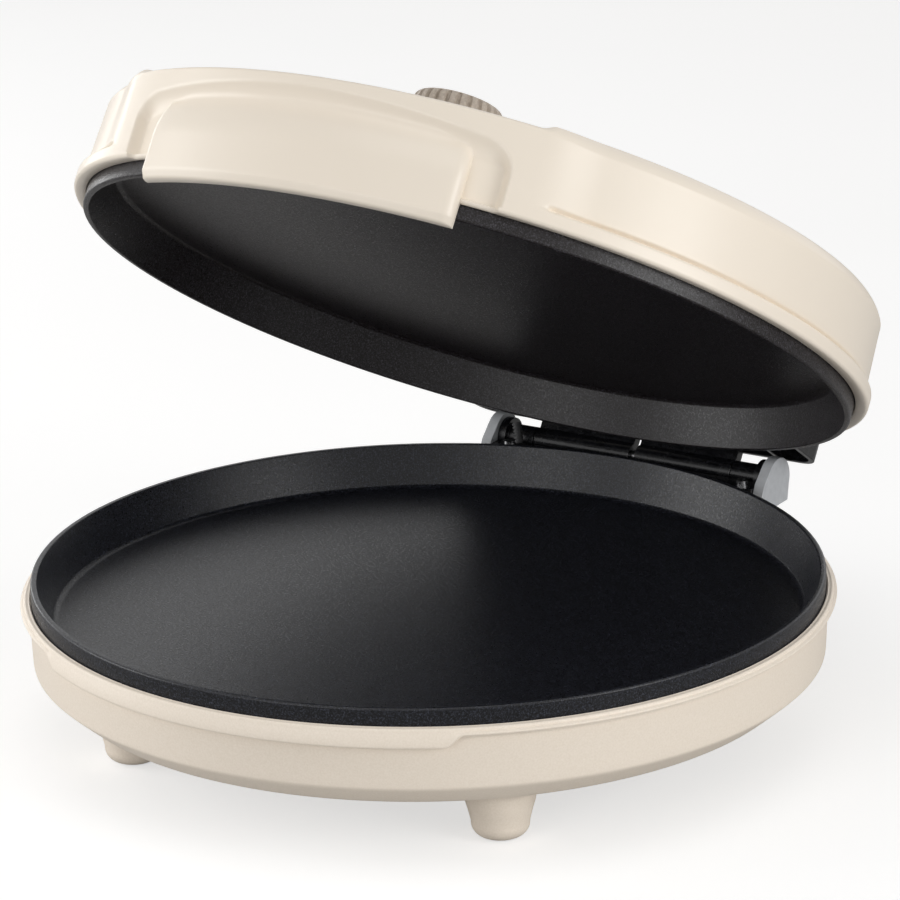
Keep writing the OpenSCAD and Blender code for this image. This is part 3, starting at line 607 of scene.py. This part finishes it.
FOOT_AT = 126
FOOT_ANGLE = 43.5
FOOT_BURIED = 1.8
FOOT_ROOT_R = 18.2
FOOT_FILLET = 4.4
FOOT_ROUND = 6.0


def base_skin():
    band_step = np.arange(31.2, 38, 0.15)
    angle = both_sides(np.concatenate([np.arange(0, 31, 1.2), band_step, np.arange(38.5, 180, 1.5)]))
    turn = np.radians(angle)
    rows = []

    def row(r, z):
        rows.append(grid_row(turn, r, z))

    sweep_x, sweep_z = BASE_WALL_R - 1 - SWEEP_R * 0.81, FLOOR_Z + SWEEP_R
    deep = 1 - smooth((np.abs(angle) - BAND_ANGLE) / S_WIDTH)
    band_low = BASE_TOP - BAND_H - (DEEP_H - BAND_H) * deep
    foot_r, foot_z = arc(sweep_x, sweep_z, SWEEP_R, -90, SWEEP_END, 1)[-1]
    slope = (BASE_WALL_R - foot_r) / (BASE_TOP - BAND_H - 0.8 - foot_z)

    # Underside and wall
    for r in np.linspace(3, sweep_x - 1, 12):
        row(r, FLOOR_Z)
    for r, z in arc(sweep_x, sweep_z, SWEEP_R, -90, BEVEL_START, 12):
        row(r, z)
    bevel_r, bevel_z = arc(sweep_x, sweep_z, SWEEP_R, BEVEL_START, SWEEP_END, 1)[0]
    for t in np.linspace(0, 1, 8)[1:-1]:
        row(bevel_r + (foot_r - bevel_r) * t + 0.3 * t * (1 - t), bevel_z + (foot_z - bevel_z) * t)
    row(foot_r - 0.12, foot_z + 0.05)
    row(foot_r, foot_z + 0.7)
    start = foot_z + 0.7
    for t in np.linspace(0, 1, 14)[1:]:
        z = start + (band_low - BAND_EDGE - start) * t
        row(foot_r + slope * (z - foot_z), z)

    # Band: a small fillet under it, a round lower edge, and a round top that falls to the plate
    step_r = foot_r + slope * (band_low - BAND_EDGE - foot_z)
    for t in np.linspace(0, 1, 5)[1:]:
        row(step_r + (BAND_R - BAND_EDGE - step_r) * t**1.4, band_low - BAND_EDGE + 0.75 * t**0.8)
    for t in np.linspace(0, 1, 6)[1:]:
        bow = math.radians(90 * t)
        row(BAND_R - BAND_EDGE * (1 - math.sin(bow)), band_low - 0.15 + 0.95 * (1 - math.cos(bow)))
    for t in np.linspace(0, 1, 8)[1:]:
        row(BAND_R - BAND_LEAN * t**1.5, band_low + 0.8 + (BASE_TOP - 1.5 - band_low - 0.8) * t)
    for r, z in arc(BAND_R - 2.5, BASE_TOP - 1.4, 1.2, 10, 85, 6)[1:]:
        row(r, z)
    row(BAND_R - 2.9, BASE_TOP - 0.4)
    row(LIP_R + 0.5, BASE_TOP)
    row(LIP_R, BASE_TOP - 0.3)

    # Seat of the plate and the hollow inside
    row(LIP_R, BASE_TOP - 1.9)
    row(SHOULDER_R + 0.1, BASE_TOP - 1.9)
    row(SHOULDER_R + 0.1, BASE_TOP - 3.9)
    row(BASE_WALL_R - SKIN - 0.3, BASE_TOP - 5.9)
    for r, z in arc(sweep_x, sweep_z, SWEEP_R - SKIN, SWEEP_END, -90, 14):
        row(r, z)
    row(3, FLOOR_Z + SKIN)
    return round_solid(np.stack(rows))


def foot(angle):
    """A tapered foot with a flat sole, round lower edge and a fillet where it meets the base."""
    turn = math.radians(angle)
    centre = (FOOT_AT * math.sin(turn), -FOOT_AT * math.cos(turn))
    root_z = FLOOR_Z + FOOT_BURIED
    profile = [(1, root_z), (FOOT_ROOT_R, root_z), (18.0, FLOOR_Z + 0.4)]
    profile += arc(19.0, FLOOR_Z - FOOT_FILLET, FOOT_FILLET, 104, 172, 8)
    profile += [(14.1, FLOOR_Z - 7.5), (13.0, 11.5)]
    profile += arc(5.8, FOOT_ROUND, FOOT_ROUND, 6, -82, 12)
    profile += [(5.6, 0), (1, 0)]
    return lathe(profile, 96, centre)


def joined(*shapes):
    """Several shapes as one."""
    vertices, faces = [], []
    for more_vertices, more_faces in shapes:
        start = len(vertices)
        vertices += more_vertices
        faces += [tuple(start + i for i in face) for face in more_faces]
    return vertices, faces


feet = [foot(a) for a in (FOOT_ANGLE, 180 - FOOT_ANGLE, 180 + FOOT_ANGLE, -FOOT_ANGLE)]
add_piece(
    "base_skin",
    joined(base_skin(), *feet),
    "base",
    "base",
    MATERIALS["cream_satin"],
    ["base_shell"],
    sharp=55,
)


# Knob: a fluted dial with a rounded top

KNOB_LOW = 60.9
KNOB_H = 14.4
KNOB_R = 21.5
KNOB_TOP_R = 18.5
KNOB_DRAFT = 0.21
KNOB_ROUND = 3.6
FLUTES = 26
FLUTE_DEPTH = 1.5
FLUTE_EDGE = 0.9


def knob_dial():
    turn = np.linspace(0, 2 * math.pi, FLUTES * 12, endpoint=False)
    groove = np.clip(np.cos(FLUTES * turn) * 1.25 - 0.15, 0, 1) ** 0.7
    skirt = [(1, 0.0), (KNOB_R - 0.8, 0.0), (KNOB_R - 0.2, 0.2)]
    skirt += [(KNOB_R, 0.8), (KNOB_R, 1.8), (KNOB_R - 0.35, 2.6)]
    side = [(KNOB_R - 0.6 - KNOB_DRAFT * i, 3.4 + 0.8 * i) for i in range(9)]
    edge = arc(KNOB_TOP_R - 3.2, KNOB_H - KNOB_ROUND, KNOB_ROUND, 12, 88, 10)
    dished = [(KNOB_TOP_R - 4, KNOB_H - 0.05), (KNOB_TOP_R - 5.5, KNOB_H - 0.5)]
    dished += [(KNOB_TOP_R - 8, KNOB_H - 0.9), (1, KNOB_H - 1.1)]
    rows = []
    for r, z in skirt + side + edge + dished:
        start = smooth((z - 2.2) / FLUTE_EDGE)
        end = 1 - smooth((z - KNOB_H + 1.1) / FLUTE_EDGE)
        radius = r - FLUTE_DEPTH * start * end * (r > KNOB_TOP_R - 5) * groove
        x, y = radius * np.sin(turn), KNOB_Y - radius * np.cos(turn)
        rows.append(np.stack([x, y, KNOB_LOW + np.full_like(turn, z)], axis=-1))
    return round_solid(np.stack(rows))


add_piece(
    "knob_dial", knob_dial(), "lid", "knob", MATERIALS["taupe_plastic"], ["knob"], sharp=40
)


# Softer edges on the flat-sided moulded pieces


def soften(node, width_mm, split=35):
    """Rounds the hard edges of a CAD node, after its weld and before its edges are split."""
    piece = frame["nodes"][node]
    flat = piece.modifiers.new("flat", "DECIMATE")
    flat.decimate_type = "DISSOLVE"
    flat.angle_limit = math.radians(1.2)
    bevel = piece.modifiers.new("bevel", "BEVEL")
    bevel.width = width_mm * MM
    bevel.segments = 3
    bevel.limit_method = "ANGLE"
    bevel.angle_limit = math.radians(split)
    bevel.harden_normals = False
    for place, name in enumerate(("flat", "bevel"), 1):
        piece.modifiers.move(piece.modifiers.find(name), place)


for node, width in (
    ("hinge_cover_left", 0.9),
    ("hinge_cover_right", 0.9),
    ("base_hinge_bracket", 0.4),
    ("lid_hinge_housing", 0.4),
    ("terminal_block", 0.4),
):
    soften(node, width)


# Camera: its angle, distance and lens follow the photograph


def look(azimuth, elevation, roll, distance, target, lens):
    """A camera that looks at target, with azimuth 0 along +Y and angles in degrees."""
    a, e, p = (math.radians(v) for v in (azimuth, elevation, roll))
    forward = Vector((-math.sin(a) * math.cos(e), math.cos(a) * math.cos(e), -math.sin(e)))
    level = Vector((math.cos(a), math.sin(a), 0))
    upright = level.cross(forward)
    right = math.cos(p) * level + math.sin(p) * upright
    up = -math.sin(p) * level + math.cos(p) * upright
    data = bpy.data.cameras.new("camera")
    data.lens = lens
    data.sensor_width = 36
    data.clip_start, data.clip_end = 0.1, 20
    camera = bpy.data.objects.new("camera", data)
    turn = Matrix((right, up, -forward)).transposed()
    camera.matrix_world = Matrix.Translation((target - distance * forward) * MM) @ turn.to_4x4()
    bpy.context.scene.collection.objects.link(camera)
    bpy.context.scene.camera = camera


look(
    azimuth=31.1, elevation=18.42, roll=-1.056, distance=2567.9, target=Vector((0, 1.8, 113.8)), lens=250.4
)


# Studio: pale floor, white surroundings and large soft lamps


def studio():
    world = bpy.data.worlds.new("studio")
    bpy.context.scene.world = world
    world.use_nodes = True
    nodes, links = world.node_tree.nodes, world.node_tree.links
    background = nodes["Background"]
    seen = nodes.new("ShaderNodeBackground")
    seen.inputs["Color"].default_value = (1, 1, 1, 1)
    seen.inputs["Strength"].default_value = 1
    background.inputs["Color"].default_value = (1, 0.985, 0.965, 1)
    background.inputs["Strength"].default_value = 0.4
    path = nodes.new("ShaderNodeLightPath")
    first = nodes.new("ShaderNodeMath")
    first.operation = "MAXIMUM"
    second = nodes.new("ShaderNodeMath")
    second.operation = "MAXIMUM"
    links.new(path.outputs["Is Camera Ray"], first.inputs[0])
    links.new(path.outputs["Is Glossy Ray"], first.inputs[1])
    links.new(first.outputs[0], second.inputs[0])
    links.new(path.outputs["Is Transmission Ray"], second.inputs[1])
    mix = nodes.new("ShaderNodeMixShader")
    links.new(second.outputs[0], mix.inputs["Fac"])
    links.new(background.outputs[0], mix.inputs[1])
    links.new(seen.outputs[0], mix.inputs[2])
    links.new(mix.outputs[0], nodes["World Output"].inputs["Surface"])


FLOOR_DARK = linear(196, 196, 196)
FLOOR_LIGHT = linear(200, 200, 200)
FLOOR_GLOW = 0.58
FLOOR_SIZE = 12
FLOOR_DROP = 0.0004


def floor():
    bpy.ops.mesh.primitive_plane_add(size=FLOOR_SIZE, location=(0, 0, -FLOOR_DROP))
    plane = bpy.context.object
    plane.name = "floor"
    s = Surface("floor", Roughness=0.9, Specular_IOR_Level=0.1)
    s.colours(s.noise(3, 2), FLOOR_DARK, FLOOR_LIGHT)
    path = s.nodes.new("ShaderNodeLightPath")
    glow = s.nodes.new("ShaderNodeMath")
    glow.operation = "MULTIPLY"
    glow.inputs[1].default_value = FLOOR_GLOW
    s.links.new(path.outputs["Is Camera Ray"], glow.inputs[0])
    s.links.new(glow.outputs[0], s.shader.inputs["Emission Strength"])
    s.shader.inputs["Emission Color"].default_value = (1, 1, 1, 1)
    plane.data.materials.append(s.material)


def lamp(name, azimuth, elevation, distance, width, height, power, tint=(1, 1, 1)):
    """A soft rectangular lamp that faces the object; azimuth 0 is in front of it, 90 at +X."""
    a, e = math.radians(azimuth), math.radians(elevation)
    centre = Vector((0, 0, 120))
    out = Vector((math.sin(a) * math.cos(e), -math.cos(a) * math.cos(e), math.sin(e)))
    data = bpy.data.lights.new(name, "AREA")
    data.shape = "RECTANGLE"
    data.size, data.size_y = width * MM, height * MM
    data.energy = power
    data.color = tint
    light = bpy.data.objects.new(name, data)
    light.location = (centre + out * distance) * MM
    light.rotation_mode = "QUATERNION"
    light.rotation_quaternion = out.to_track_quat("Z", "Y")
    bpy.context.scene.collection.objects.link(light)


studio()
floor()
lamp("left", -64, 12, 1500, 900, 900, 8.6)
lamp("strip", -112, 3, 1300, 260, 700, 1.8)
lamp("front", -5, 14, 1700, 900, 700, 4.6)
lamp("right", 84, 12, 1600, 800, 900, 10.5)
lamp("top", 20, 80, 1800, 1200, 1200, 4.5)
bpy.context.scene.view_settings.view_transform = "Standard"
